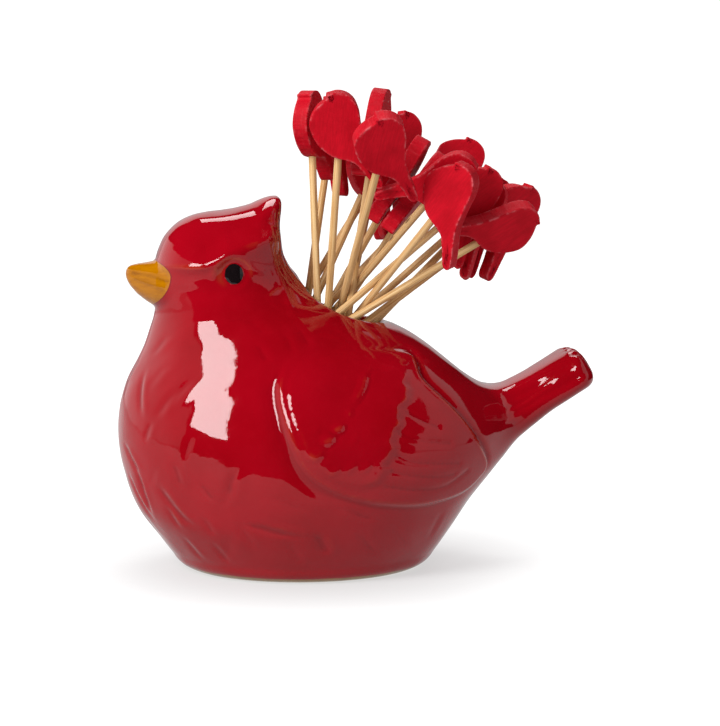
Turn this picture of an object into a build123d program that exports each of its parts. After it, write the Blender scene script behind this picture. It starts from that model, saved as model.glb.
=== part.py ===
from build123d import *
import os
from math import atan2, cos, degrees, radians, sin

# ---------------------------------------------------------------------------
# Bird-shaped ceramic pick holder with bamboo picks.
# Frame: origin at the centre of the foot on the table, +Z up, the bird looks
# along -X and its tail points along +X. Millimetres.
# ---------------------------------------------------------------------------

# Driving dimensions
WALL = 4.0                 # ceramic wall
WING_RELIEF = 1.6          # how far a wing stands off the flank
COVERT_RELIEF = 2.8        # how far the small shoulder feathers stand off it
MOUTH_CENTRE = (10.6, 0.0, 70.4)
MOUTH_TILT = 24.0          # the mouth looks up and back by this angle
MOUTH_HALF_LENGTH = 11.9
MOUTH_HALF_WIDTH = 11.6
MOUTH_LIP = 1.4
EYE_CENTRE = (-20.9, 15.1, 79.6)
EYE_RADIUS = 4.0
BROW_RADIUS = 1.3
TAIL_GROOVE_RADIUS = 0.8
STICK_RADIUS = 1.0
STICK_LENGTH = 104.0       # from the topper's belly down to the point
POINT_LENGTH = 7.0
POINT_RADIUS = 0.25
SOCKET_DEPTH = 8.0         # how far a stick goes up into its topper
SOCKET_CLEARANCE = 0.01
TOPPER_THICKNESS = 4.2
TOPPER_EDGE = 0.35         # worn edge of the cut-out

# Outer skin of the bird, one ellipse per level: height, front x, rear x, half width
SKIN = [
    (0.0, -31.0, 31.0, 28.0),
    (1.2, -33.2, 32.8, 30.0),
    (4.4, -35.6, 35.4, 31.6),
    (8.9, -38.9, 38.7, 33.8),
    (15.5, -43.9, 43.2, 36.3),
    (22.0, -46.6, 47.0, 37.9),
    (30.0, -48.4, 50.0, 38.6),
    (38.0, -49.0, 50.6, 38.2),
    (45.0, -48.2, 47.6, 36.4),
    (51.0, -46.4, 41.0, 33.3),
    (56.0, -43.9, 34.6, 30.0),
    (60.0, -42.1, 29.4, 26.8),
    (64.0, -40.7, 23.2, 23.4),
    (68.0, -39.6, 14.0, 20.6),
    (72.0, -39.5, 4.6, 19.0),
    (76.5, -40.1, -1.2, 18.4),
    (81.0, -39.9, -4.2, 17.8),
    (85.0, -39.0, -5.6, 16.4),
    (89.0, -36.6, -6.3, 13.6),
    (92.0, -32.6, -6.4, 9.6),
    (93.8, -27.0, -7.2, 5.6),
]
# Inside of the wall, from the floor to the hollow of the head
CAVITY = [
    (5.0, -29.6, 29.4, 26.4),
    (8.9, -34.0, 33.8, 29.2),
    (15.5, -39.4, 38.7, 32.0),
    (22.0, -42.4, 42.6, 33.8),
    (30.0, -44.4, 45.4, 34.6),
    (38.0, -45.0, 45.2, 34.2),
    (45.0, -44.1, 41.2, 32.0),
    (51.0, -42.0, 34.4, 28.6),
    (56.0, -39.5, 27.8, 25.0),
    (60.0, -37.8, 22.0, 21.8),
    (64.0, -36.6, 15.5, 18.8),
    (68.0, -35.6, 6.5, 16.4),
    (72.0, -35.4, -1.5, 15.0),
    (76.5, -36.0, -5.8, 14.2),
    (81.0, -35.8, -8.4, 13.4),
    (85.0, -34.4, -10.0, 11.4),
    (88.5, -30.0, -12.0, 7.6),
]
# Beak, one ellipse per station: x, centre height, half width, half height
BEAK = [
    (-33.0, 76.6, 9.6, 5.4),
    (-37.5, 76.4, 8.4, 5.8),
    (-41.0, 76.6, 5.9, 5.0),
    (-44.6, 77.8, 3.1, 3.0),
    (-47.4, 78.8, 1.1, 1.1),
]
# Tail, one rounded slab per station: x, z of its centre, rise angle, half width, half thickness
TAIL = [
    (40.0, 37.0, 12.0, 20.0, 12.0),
    (54.0, 39.8, 26.0, 14.5, 8.8),
    (65.0, 46.4, 30.0, 11.8, 6.8),
    (75.4, 52.6, 30.0, 10.8, 6.1),
]
CREST = [(-36.0, 84.0), (-36.4, 89.6), (-33.6, 92.6), (-28.5, 94.0), (-23.0, 94.6), (-17.6, 95.7),
         (-12.1, 97.6), (-7.6, 99.4), (-6.0, 98.2), (-5.7, 95.0), (-6.3, 90.0), (-9.0, 84.0)]
WING = [(-4.1, 60.1), (-8.2, 56.8), (-11.4, 51.2), (-11.3, 42.7), (-9.0, 36.2), (-5.3, 30.3), (1.4, 25.5),
        (11.8, 22.1), (25.3, 20.5), (37.1, 21.9), (43.2, 25.8), (44.8, 29.0), (42.8, 33.5), (38.9, 39.4),
        (33.5, 45.5), (26.8, 52.2), (22.7, 58.9)]
COVERT = [(-3.0, 58.6), (-8.4, 54.6), (-10.4, 48.0), (-9.6, 41.0), (-5.0, 33.4), (1.6, 28.6), (9.0, 26.6),
          (13.4, 29.0), (16.3, 35.1), (19.3, 43.6), (22.0, 49.0), (21.0, 56.0), (9.0, 60.5)]
FEATHER_GROOVES = [
    [(18.5, 45.0), (27.0, 41.5), (36.5, 38.5)],
    [(17.2, 39.0), (28.0, 35.4), (41.5, 31.5)],
    [(16.0, 33.6), (27.0, 30.2), (42.0, 26.8)],
    [(13.6, 28.6), (25.0, 25.6), (37.0, 23.6)],
]
# Flat bird of a pick, seen from its side. The stick enters at (0, 0) and runs
# along +Y; +X is the belly side, the tail hangs on the other side.
TOPPER = [(3.81, 16.19), (3.3, 16.95), (1.92, 17.45), (0.27, 17.49), (-1.45, 17.0), (-2.92, 15.81),
          (-3.92, 14.27), (-4.74, 11.94), (-5.29, 9.1), (-6.0, 6.04), (-6.73, 3.65), (-7.88, 1.25),
          (-9.52, -1.45), (-10.92, -3.67), (-11.91, -5.54), (-11.79, -6.93), (-10.62, -7.14), (-9.47, -6.36),
          (-8.02, -4.5), (-6.23, -2.57), (-4.69, -1.1), (-2.99, -0.4), (-0.59, 0.0), (1.61, 0.55),
          (3.62, 1.8), (5.58, 3.6), (6.78, 5.3), (7.74, 7.31), (8.07, 9.02), (7.6, 10.99), (6.33, 13.23),
          (4.88, 14.81)]
# Where each pick stands: the point where its stick enters the topper, the direction
# from the stick's point up to the topper, and the side its belly faces
PICKS = [
    ((1.193, -7.112, 108.968), (-0.03959, -0.04307, 0.99829), (-0.51191, -0.85713, -0.05729)),
    ((6.594, -16.028, 109.262), (0.02843, -0.23393, 0.97184), (-0.98494, 0.15931, 0.06716)),
    ((7.825, 8.999, 107.235), (0.17681, 0.19594, 0.96454), (-0.54222, -0.79848, 0.26160)),
    ((14.600, -27.596, 106.267), (0.12144, -0.54162, 0.83180), (-0.99258, -0.06146, 0.10489)),
    ((16.888, 7.764, 97.706), (0.43764, 0.13862, 0.88840), (-0.87397, -0.16663, 0.45653)),
    ((18.061, -1.903, 109.629), (0.16432, 0.10203, 0.98112), (0.37868, 0.91190, -0.15825)),
    ((21.312, 19.291, 96.528), (0.25962, 0.42138, 0.86893), (-0.53842, -0.68379, 0.49247)),
    ((23.665, 14.221, 104.564), (0.55483, 0.23308, 0.79865), (-0.78226, -0.18067, 0.59617)),
    ((23.987, 1.685, 98.298), (0.46901, -0.16020, 0.86854), (0.33703, 0.94146, -0.00834)),
    ((28.133, 0.594, 94.507), (0.54437, -0.09839, 0.83305), (0.33191, 0.93732, -0.10618)),
    ((29.921, -14.932, 96.982), (0.55168, -0.38018, 0.74237), (0.76331, -0.12860, -0.63310)),
    ((30.393, -22.236, 93.439), (0.48448, -0.46263, 0.74246), (-0.64203, 0.38845, 0.66099)),
    ((37.304, -9.602, 92.802), (0.76415, -0.02604, 0.64451), (-0.64187, -0.12968, 0.75577)),
    ((40.901, -0.743, 89.037), (0.72714, -0.15540, 0.66867), (-0.57607, 0.39164, 0.71746)),
    ((42.039, 22.427, 99.539), (0.68711, 0.44013, 0.57808), (-0.72211, 0.32585, 0.61022)),
    ((43.928, -14.352, 86.550), (0.84106, -0.14516, 0.52110), (0.51608, 0.50403, -0.69255)),
    ((44.608, 5.275, 88.717), (0.71603, 0.21378, 0.66453), (-0.56052, -0.39131, 0.72986)),
    ((50.734, 2.863, 88.403), (0.81417, 0.23823, 0.52951), (-0.44245, -0.33598, 0.83147)),
]


def tail_plane(x, z, rise):
    """Cross-section plane of the tail: local x across it, local y through its thickness."""
    a = radians(rise)
    return Plane(origin=(x, 0, z), x_dir=(0, 1, 0), z_dir=(cos(a), 0, sin(a)))


os.makedirs("parts", exist_ok=True)

# ---------------------------------------------------------------- tool shapes
# The skin pushed out sideways, to cut the raised wings from
with BuildPart() as wing_slab:
    for z, front, rear, half in SKIN[2:13]:
        with BuildSketch(Plane.XY.offset(z)):
            with Locations(((front + rear) / 2, 0)):
                Ellipse((rear - front) / 2 + 0.6, half + WING_RELIEF)
    loft()
    with BuildSketch(Plane.XZ):
        with BuildLine():
            Spline(*WING, periodic=True)
        make_face()
    extrude(amount=60, both=True, mode=Mode.INTERSECT)

with BuildPart() as covert_slab:
    for z, front, rear, half in SKIN[2:13]:
        with BuildSketch(Plane.XY.offset(z)):
            with Locations(((front + rear) / 2, 0)):
                Ellipse((rear - front) / 2 + 1.0, half + COVERT_RELIEF)
    loft()
    with BuildSketch(Plane.XZ):
        with BuildLine():
            Spline(*COVERT, periodic=True)
        make_face()
    extrude(amount=60, both=True, mode=Mode.INTERSECT)

# Long grooves between the flight feathers, cut no deeper than the wing relief
with BuildPart() as groove_core:
    for z, front, rear, half in SKIN[2:13]:
        with BuildSketch(Plane.XY.offset(z)):
            with Locations(((front + rear) / 2, 0)):
                Ellipse((rear - front) / 2 - 0.4, half + 0.5)
    loft()

with BuildPart() as grooves:
    for line in FEATHER_GROOVES:
        with BuildSketch(Plane.XZ):
            with BuildLine():
                Spline(*line)
            trace(line_width=1.0)
        extrude(amount=60, both=True)
    add(groove_core.part, mode=Mode.SUBTRACT)

with BuildPart() as cavity:
    for z, front, rear, half in CAVITY:
        with BuildSketch(Plane.XY.offset(z)):
            with Locations(((front + rear) / 2, 0)):
                Ellipse((rear - front) / 2, half)
    loft()

tilt = radians(MOUTH_TILT)
mouth_plane = Plane(origin=MOUTH_CENTRE, x_dir=(cos(tilt), 0, -sin(tilt)), z_dir=(sin(tilt), 0, cos(tilt)))


def on_mouth_rim(edge):
    """True for the edges where the mouth's wall meets the outer skin."""
    p = mouth_plane.to_local_coords(edge @ 0.5)
    q = (p.X / MOUTH_HALF_LENGTH) ** 2 + (p.Y / MOUTH_HALF_WIDTH) ** 2
    return abs(q - 1) < 0.01 and p.Z > -3.5 and edge.length > 2


# --------------------------------------------------------------------- holder
with BuildPart() as holder:
    # body, neck and head in one skin
    for z, front, rear, half in SKIN:
        with BuildSketch(Plane.XY.offset(z)):
            with Locations(((front + rear) / 2, 0)):
                Ellipse((rear - front) / 2, half)
    loft()

    # crest: a roof-shaped ridge along the top of the head
    with BuildSketch(Plane.XZ):
        with BuildLine():
            Polyline(*CREST, close=True)
        make_face()
    extrude(amount=6.5, both=True, taper=24)

    # beak
    for x, z, half, rise in BEAK:
        with BuildSketch(Plane(origin=(x, 0, z), x_dir=(0, 1, 0), z_dir=(1, 0, 0))):
            if half > rise:
                Ellipse(half, rise)
            else:
                Ellipse(half, rise - 0.001)
    loft()

    # tail
    for x, z, rise, half, thick in TAIL:
        with BuildSketch(tail_plane(x, z, rise)):
            RectangleRounded(2 * half, 2 * thick, min(half, thick) * 0.62)
    loft()

    # wings and their shoulder feathers, both sides at once
    add(wing_slab.part)
    add(covert_slab.part)
    add(grooves.part, mode=Mode.SUBTRACT)

    # eyes, each a low dome under a brow ridge
    for side in (-1, 1):
        with Locations((EYE_CENTRE[0], side * EYE_CENTRE[1], EYE_CENTRE[2])):
            Sphere(EYE_RADIUS)
        with BuildLine():
            Spline(
                (EYE_CENTRE[0] - 6.4, side * (EYE_CENTRE[1] + 0.6), EYE_CENTRE[2] + 2.2),
                (EYE_CENTRE[0] - 1.5, side * (EYE_CENTRE[1] + 1.2), EYE_CENTRE[2] + 5.0),
                (EYE_CENTRE[0] + 5.6, side * (EYE_CENTRE[1] + 0.8), EYE_CENTRE[2] + 3.0),
            )
        with BuildSketch(Plane(origin=(EYE_CENTRE[0] - 6.4, side * (EYE_CENTRE[1] + 0.6), EYE_CENTRE[2] + 2.2),
                               z_dir=(4.9, side * 0.6, 2.8))):
            Circle(BROW_RADIUS)
        sweep()

    # shallow grooves between the tail feathers, above, below and over the end
    for side_y in (-6.9, -2.3, 2.3, 6.9):
        for x0, z0, x1, z1 in ((59.0, 50.9, 76.0, 60.6), (62.0, 36.9, 84.0, 50.2)):
            run, rise = x1 - x0, z1 - z0
            with BuildSketch(Plane(origin=(x0, side_y, z0), z_dir=(run, 0, rise))):
                Circle(TAIL_GROOVE_RADIUS)
            extrude(amount=(run * run + rise * rise) ** 0.5, mode=Mode.SUBTRACT)

    # the hollow and its mouth
    add(cavity.part, mode=Mode.SUBTRACT)
    with BuildSketch(mouth_plane.offset(-11.0)):
        Ellipse(MOUTH_HALF_LENGTH, MOUTH_HALF_WIDTH)
    extrude(amount=40, mode=Mode.SUBTRACT)

    # rounded lip
    fillet(holder.edges().filter_by(on_mouth_rim), radius=MOUTH_LIP)

holder.part.label = "holder"
export_step(holder.part, "parts/holder.step")


# ---------------------------------------------------------------------- picks
def on_flat_outline(flat):
    """Selector for the edges around the two flat sides of a topper."""
    return lambda edge: abs(abs(flat.to_local_coords(edge @ 0.5).Z) - TOPPER_THICKNESS / 2) < 1e-3


for number, (entry, up, belly) in enumerate(PICKS, start=1):
    entry, up, belly = Vector(*entry), Vector(*up).normalized(), Vector(*belly)
    belly = (belly - up * belly.dot(up)).normalized()
    flat = Plane(origin=entry, x_dir=belly, z_dir=belly.cross(up))

    # painted cut-out bird with a blind hole for its stick
    with BuildPart() as topper:
        with BuildSketch(flat):
            with BuildLine():
                Spline(*TOPPER, periodic=True)
            make_face()
        extrude(amount=TOPPER_THICKNESS / 2, both=True)
        chamfer(topper.edges().filter_by(on_flat_outline(flat)), TOPPER_EDGE)
        with BuildSketch(Plane(origin=entry - up * 2, x_dir=belly, z_dir=up)):
            Circle(STICK_RADIUS + SOCKET_CLEARANCE)
        extrude(amount=SOCKET_DEPTH + 2, mode=Mode.SUBTRACT)
    topper.part.label = f"topper_{number:02d}"
    export_step(topper.part, f"parts/topper_{number:02d}.step")

    # round bamboo stick, pointed at its lower end
    tip = entry - up * STICK_LENGTH
    with BuildPart() as stick:
        with BuildSketch(Plane(origin=tip, x_dir=belly, z_dir=up)):
            Circle(POINT_RADIUS)
        with BuildSketch(Plane(origin=tip + up * POINT_LENGTH, x_dir=belly, z_dir=up)):
            Circle(STICK_RADIUS)
        loft()
        with BuildSketch(Plane(origin=tip + up * POINT_LENGTH, x_dir=belly, z_dir=up)):
            Circle(STICK_RADIUS)
        extrude(amount=STICK_LENGTH - POINT_LENGTH + SOCKET_DEPTH - 0.05)
    stick.part.label = f"stick_{number:02d}"
    export_step(stick.part, f"parts/stick_{number:02d}.step")
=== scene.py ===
"""A glazed ceramic bird holding long bamboo picks, each with a flat painted wooden bird on top.

Every length in the tables is in millimetres in the CAD frame; objects are in metres.
"""
import math

import bpy
import numpy as np
from mathutils import Matrix, Vector
from mathutils.geometry import tessellate_polygon


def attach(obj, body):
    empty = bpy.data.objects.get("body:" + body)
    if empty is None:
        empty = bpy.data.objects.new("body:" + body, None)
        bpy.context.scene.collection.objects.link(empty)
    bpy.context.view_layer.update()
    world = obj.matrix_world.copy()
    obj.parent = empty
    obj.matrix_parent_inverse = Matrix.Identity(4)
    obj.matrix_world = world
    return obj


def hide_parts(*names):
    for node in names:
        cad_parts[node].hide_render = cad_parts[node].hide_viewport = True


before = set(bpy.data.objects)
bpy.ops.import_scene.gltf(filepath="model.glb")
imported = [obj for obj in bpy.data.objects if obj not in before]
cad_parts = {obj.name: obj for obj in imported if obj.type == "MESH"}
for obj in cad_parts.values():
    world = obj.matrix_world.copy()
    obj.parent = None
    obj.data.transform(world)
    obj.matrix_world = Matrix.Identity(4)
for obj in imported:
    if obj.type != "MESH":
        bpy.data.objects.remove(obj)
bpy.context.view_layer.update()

scene = bpy.context.scene
MM = 0.001


# ---------------------------------------------------------------- helpers
def mesh_object(name, V, faces, attrs=None, vectors=None, smooth=True, sharp=None):
    """A mesh object from points in mm. faces is one array of quads or a list of index lists."""
    me = bpy.data.meshes.new(name)
    V = np.asarray(V, float)
    if isinstance(faces, np.ndarray):
        n, k = faces.shape
        me.vertices.add(len(V))
        me.loops.add(n * k)
        me.polygons.add(n)
        me.vertices.foreach_set("co", (V * MM).ravel())
        me.loops.foreach_set("vertex_index", faces.ravel().astype(np.int32))
        me.polygons.foreach_set("loop_start", np.arange(0, n * k, k, dtype=np.int32))
        me.update(calc_edges=True)
    else:
        me.from_pydata((V * MM).tolist(), [], [list(map(int, f)) for f in faces])
    me.validate()
    me.polygons.foreach_set("use_smooth", np.full(len(me.polygons), smooth))
    for key, values in (attrs or {}).items():
        a = me.attributes.new(key, "FLOAT", "POINT")
        a.data.foreach_set("value", np.asarray(values, np.float32))
    for key, values in (vectors or {}).items():
        a = me.attributes.new(key, "FLOAT_VECTOR", "POINT")
        a.data.foreach_set("vector", np.asarray(values, np.float32).ravel())
    if sharp is not None:
        me.set_sharp_from_angle(angle=math.radians(sharp))
    me.update()
    ob = bpy.data.objects.new(name, me)
    scene.collection.objects.link(ob)
    return ob


class Graph:
    """Short calls for building a node tree."""

    def __init__(self, tree):
        self.tree = tree
        self.nodes, self.links = tree.nodes, tree.links
        self.nodes.clear()

    def put(self, socket, value):
        if isinstance(value, bpy.types.NodeSocket):
            self.links.new(value, socket)
        elif isinstance(value, (tuple, list)) and socket.type == "RGBA" and len(value) == 3:
            socket.default_value = (*value, 1.0)
        else:
            socket.default_value = value

    def add(self, kind, inputs=None, out=0, **props):
        node = self.nodes.new(kind)
        for k, v in props.items():
            setattr(node, k, v)
        for k, v in (inputs or {}).items():
            self.put(node.inputs[k], v)
        return node.outputs[out]

    def math(self, op, a, b=0.0, c=None, clamp=False):
        ins = {0: a, 1: b}
        if c is not None:
            ins[2] = c
        return self.add("ShaderNodeMath", ins, operation=op, use_clamp=clamp)

    def mix(self, f, a, b, blend="MIX"):
        node = self.nodes.new("ShaderNodeMix")
        node.data_type = "RGBA"
        node.blend_type = blend
        node.clamp_factor = True
        self.put(node.inputs[0], f)
        self.put(node.inputs[6], a)
        self.put(node.inputs[7], b)
        return node.outputs[2]

    def range(self, v, a, b, c=0.0, d=1.0, kind="SMOOTHSTEP"):
        return self.add("ShaderNodeMapRange", {0: v, 1: a, 2: b, 3: c, 4: d}, interpolation_type=kind)

    def attr(self, name, out="Fac"):
        node = self.nodes.new("ShaderNodeAttribute")
        node.attribute_name = name
        return node.outputs[out]

    def noise(self, vec, scale, detail=2.0, rough=0.5, distort=0.0, out=0):
        return self.add("ShaderNodeTexNoise", {"Vector": vec, "Scale": scale, "Detail": detail, "Roughness": rough, "Distortion": distort}, out)

    def mapping(self, vec, scale=(1, 1, 1), loc=(0, 0, 0)):
        return self.add("ShaderNodeMapping", {"Vector": vec, "Scale": scale, "Location": loc})

    def bump(self, height, strength, distance, normal=None):
        ins = {"Height": height, "Strength": strength, "Distance": distance}
        if normal is not None:
            ins["Normal"] = normal
        return self.add("ShaderNodeBump", ins)


def material(name):
    m = bpy.data.materials.new(name)
    m.use_nodes = True
    g = Graph(m.node_tree)
    out = g.nodes.new("ShaderNodeOutputMaterial")
    bsdf = g.nodes.new("ShaderNodeBsdfPrincipled")
    g.links.new(bsdf.outputs[0], out.inputs[0])
    return m, g, bsdf


# ---------------------------------------------------------------- camera
CAMERA, AIM, LENS = Vector((-0.10688, -0.69195, 0.1400)), Vector((0.01467, -0.00259, 0.0539)), 131.146
cam_data = bpy.data.cameras.new("camera")
cam_data.lens = LENS
cam_data.sensor_width = 36.0
cam_data.clip_start, cam_data.clip_end = 0.02, 30.0
camera = bpy.data.objects.new("camera", cam_data)
camera.location = CAMERA
camera.rotation_mode = "QUATERNION"
camera.rotation_quaternion = (AIM - CAMERA).to_track_quat("-Z", "Y")
scene.collection.objects.link(camera)
scene.camera = camera

GRID = 0.62   # mm between the points of the ceramic


# ----------------------------------------------------------------------------
# The ceramic bird as one smooth field in millimetres: negative inside the clay.
# Horizontal levels of the skin: height, front x, rear x, half width.
SKIN = np.array([
    (-3.0, -31.0, 31.0, 28.0), (0.0, -31.2, 31.0, 28.0), (1.2, -33.2, 32.8, 30.0), (4.4, -35.8, 35.4, 31.8),
    (8.9, -39.2, 38.7, 34.2), (15.5, -44.2, 43.0, 36.8), (22.0, -47.0, 46.7, 38.3), (30.0, -49.0, 49.8, 38.8),
    (38.0, -49.6, 50.6, 37.9), (45.0, -48.8, 47.9, 34.9), (51.0, -46.9, 42.5, 31.6), (56.0, -44.2, 36.7, 28.6),
    (60.0, -42.3, 31.5, 26.0), (64.0, -40.9, 24.6, 23.3), (68.0, -39.8, 14.6, 20.7), (72.0, -39.6, 4.6, 18.8),
    (75.0, -39.9, 0.4, 17.6), (76.6, -40.0, -1.5, 17.3), (78.2, -39.9, -2.8, 17.1), (79.6, -39.8, -4.0, 17.2),
    (81.2, -39.6, -5.0, 17.9), (81.6, -39.5, -5.2, 17.75), (82.6, -39.2, -5.7, 17.0), (84.0, -38.8, -6.2, 15.7), (86.0, -38.0, -6.6, 13.95),
    (88.0, -37.0, -6.8, 12.5), (90.0, -35.4, -6.9, 11.3), (92.0, -33.2, -6.8, 10.2), (93.5, -30.7, -6.6, 9.1),
    (95.0, -28.2, -6.3, 7.6), (96.5, -25.6, -6.1, 5.7), (98.0, -23.0, -6.0, 4.2), (100.0, -20.0, -6.0, 2.8),
    (102.0, -17.0, -7.0, 1.6)])
HOLLOW = np.array([
    (5.0, -29.6, 29.4, 26.4), (8.9, -34.0, 33.8, 29.2), (15.5, -39.4, 38.7, 32.0), (22.0, -42.4, 42.6, 33.8),
    (30.0, -44.4, 45.4, 34.6), (38.0, -45.0, 45.2, 34.2), (45.0, -44.1, 41.2, 32.0), (51.0, -42.0, 34.4, 28.3),
    (56.0, -39.5, 27.8, 24.6), (60.0, -37.8, 22.0, 21.4), (64.0, -36.6, 15.5, 18.4), (68.0, -35.6, 6.5, 16.0),
    (72.0, -35.4, -1.5, 14.6), (76.5, -36.0, -5.8, 14.2), (81.0, -35.8, -8.4, 13.4), (85.0, -34.4, -10.0, 11.4),
    (88.5, -30.0, -12.0, 7.6)])
MOUTH = np.array([10.6, 0.0, 70.4])
TILT = np.radians(24.0)
MOUTH_L, MOUTH_W = 11.9, 11.6
ML = np.array([np.cos(TILT), 0.0, -np.sin(TILT)])
MN = np.array([np.sin(TILT), 0.0, np.cos(TILT)])
BEAK = np.array([  # x, centre z, half width, half height
    (-30.0, 75.4, 10.6, 6.6), (-33.0, 75.5, 10.2, 6.6), (-37.0, 75.6, 9.3, 6.4), (-38.5, 75.8, 8.7, 6.2),
    (-40.2, 76.0, 7.5, 5.85), (-42.3, 76.5, 5.6, 5.0), (-44.4, 77.2, 3.8, 4.0), (-45.9, 77.9, 2.6, 2.95),
    (-47.0, 78.4, 1.7, 2.0), (-48.0, 78.8, 0.9, 1.1)])
TAIL = np.array([  # x, z of the middle line, half width, half thickness
    (25.0, 21.6, 11.0, 7.0), (38.0, 29.5, 13.0, 7.3), (47.0, 35.0, 12.4, 7.5), (54.4, 39.5, 11.8, 6.7),
    (65.0, 45.9, 11.6, 5.75), (75.4, 52.2, 12.5, 5.5), (84.0, 57.4, 13.2, 5.3)])
WING = [(-4.6, 61.0), (-8.9, 57.6), (-11.6, 52.6), (-11.5, 45.0), (-9.0, 36.4), (-5.3, 30.3), (1.4, 25.5),
        (11.8, 22.1), (25.3, 20.5), (37.1, 21.9), (43.2, 25.8), (44.8, 29.0), (42.8, 33.5), (38.9, 39.4),
        (33.5, 45.5), (26.8, 52.2), (22.7, 58.9)]
COVERT = [(-3.0, 58.6), (-8.4, 54.6), (-10.4, 48.0), (-9.6, 41.0), (-5.0, 33.4), (1.6, 28.6), (9.0, 26.6),
          (13.4, 29.0), (16.3, 35.1), (19.3, 43.6), (22.0, 49.0), (21.0, 56.0), (9.0, 60.5)]
EYE = np.array([-20.9, 17.6, 79.6])


def smooth_loop(points, per=8, closed=True):
    """Catmull-Rom through the points."""
    P = np.asarray(points, float)
    out = []
    n = len(P)
    for i in range(n if closed else n - 1):
        if closed:
            a, b, c, d = P[i - 1], P[i], P[(i + 1) % n], P[(i + 2) % n]
        else:
            a, b, c, d = P[max(i - 1, 0)], P[i], P[i + 1], P[min(i + 2, n - 1)]
        for k in range(per):
            t = k / per
            out.append(0.5 * ((2 * b) + (c - a) * t + (2 * a - 5 * b + 4 * c - d) * t * t + (3 * b - a - 3 * c + d) * t ** 3))
    if not closed:
        out.append(P[-1])
    return np.array(out)


def dense(T, step=0.2):
    """Columns of a level table, sampled finely with smooth slopes."""
    x = T[:, 0]
    xs = np.arange(x[0], x[-1] + 1e-6, step)
    cols = []
    for k in range(1, T.shape[1]):
        y = T[:, k]
        h = np.diff(x)
        d = np.diff(y) / h
        m = np.zeros_like(y)
        m[1:-1] = (h[1:] * d[:-1] + h[:-1] * d[1:]) / (h[1:] + h[:-1])
        m[0], m[-1] = d[0], d[-1]
        i = np.clip(np.searchsorted(x, xs, side="right") - 1, 0, len(x) - 2)
        t = (xs - x[i]) / h[i]
        cols.append(y[i] * (1 + 2 * t) * (1 - t) ** 2 + m[i] * h[i] * t * (1 - t) ** 2 + y[i + 1] * t * t * (3 - 2 * t) + m[i + 1] * h[i] * t * t * (t - 1))
    return xs, cols


SKIN_D, HOLLOW_D = dense(SKIN), dense(HOLLOW)


def look(D, z):
    xs, cols = D
    return [np.interp(z, xs, c) for c in cols]


def smin(a, b, k):
    h = np.clip(0.5 + 0.5 * (b - a) / k, 0, 1)
    return b + (a - b) * h - k * h * (1 - h)


def smax(a, b, k):
    return -smin(-a, -b, k)


def step01(v, w):
    """0 to 1 as v goes from -w to +w."""
    t = np.clip(0.5 + 0.5 * v / w, 0, 1)
    return t * t * (3 - 2 * t)


def polydist(P, line, closed):
    """Distance of 2-D points to a polyline, and which side of a closed one they are on."""
    A = np.asarray(line, float)
    B = np.roll(A, -1, 0) if closed else A[1:]
    A2 = A if closed else A[:-1]
    best = np.full(len(P), 1e9)
    inside = np.zeros(len(P), bool)
    for a, b in zip(A2, B):
        e = b - a
        w = P - a
        t = np.clip((w @ e) / max(e @ e, 1e-12), 0, 1)
        d = np.hypot(w[:, 0] - t * e[0], w[:, 1] - t * e[1])
        np.minimum(best, d, out=best)
        if closed:
            c1 = P[:, 1] >= a[1]
            c2 = P[:, 1] < b[1]
            c3 = e[0] * w[:, 1] > e[1] * w[:, 0]
            inside ^= (c1 & c2 & c3) | (~c1 & ~c2 & ~c3)
    return np.where(inside, -best, best) if closed else best


def ellipse_field(x, y, z, D):
    f, r, b = look(D, z)
    if D is SKIN_D:
        # the brow rises over the eye towards the back of the head
        s = np.interp(x, [-32.0, -28.0, -25.0, -22.5, -19.0, -13.5, -8.0], [0.0, 0.3, 2.0, 3.9, 5.0, 6.4, 7.0])
        t = 78.2 + (z - 78.2) * 3.1 / (3.1 + s)
        crown = np.interp(x, [-26.0, -19.0, -13.5, -9.0], [94.0, 95.0, 98.0, 100.5])
        t = np.where(t > 81.3, 81.3 + (z - 81.3 - s) * (crown - 81.3) / (crown - 81.3 - s), t)
        b = np.interp(np.where((z > 78.2) & (z < crown), t, z), D[0], D[1][2])
    cx, a = (f + r) / 2, (r - f) / 2
    u, v = np.abs(x - cx) / a, np.abs(y) / b
    p = 2.0 + 0.65 * step01(z - 82.0, 8.0) + 0.45 * step01(x - cx - 6.0, 10.0) * step01(z - 26.0, 10.0) * (1 - step01(z - 58.0, 6.0))
    q = (u ** p + v ** p + 1e-12) ** (1 / p)
    g = np.sqrt((u ** (p - 1) / a) ** 2 + (v ** (p - 1) / b) ** 2) / q ** (p - 1) + 1e-9
    return (q - 1) / np.maximum(g, 1 / np.maximum(a, b))


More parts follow.
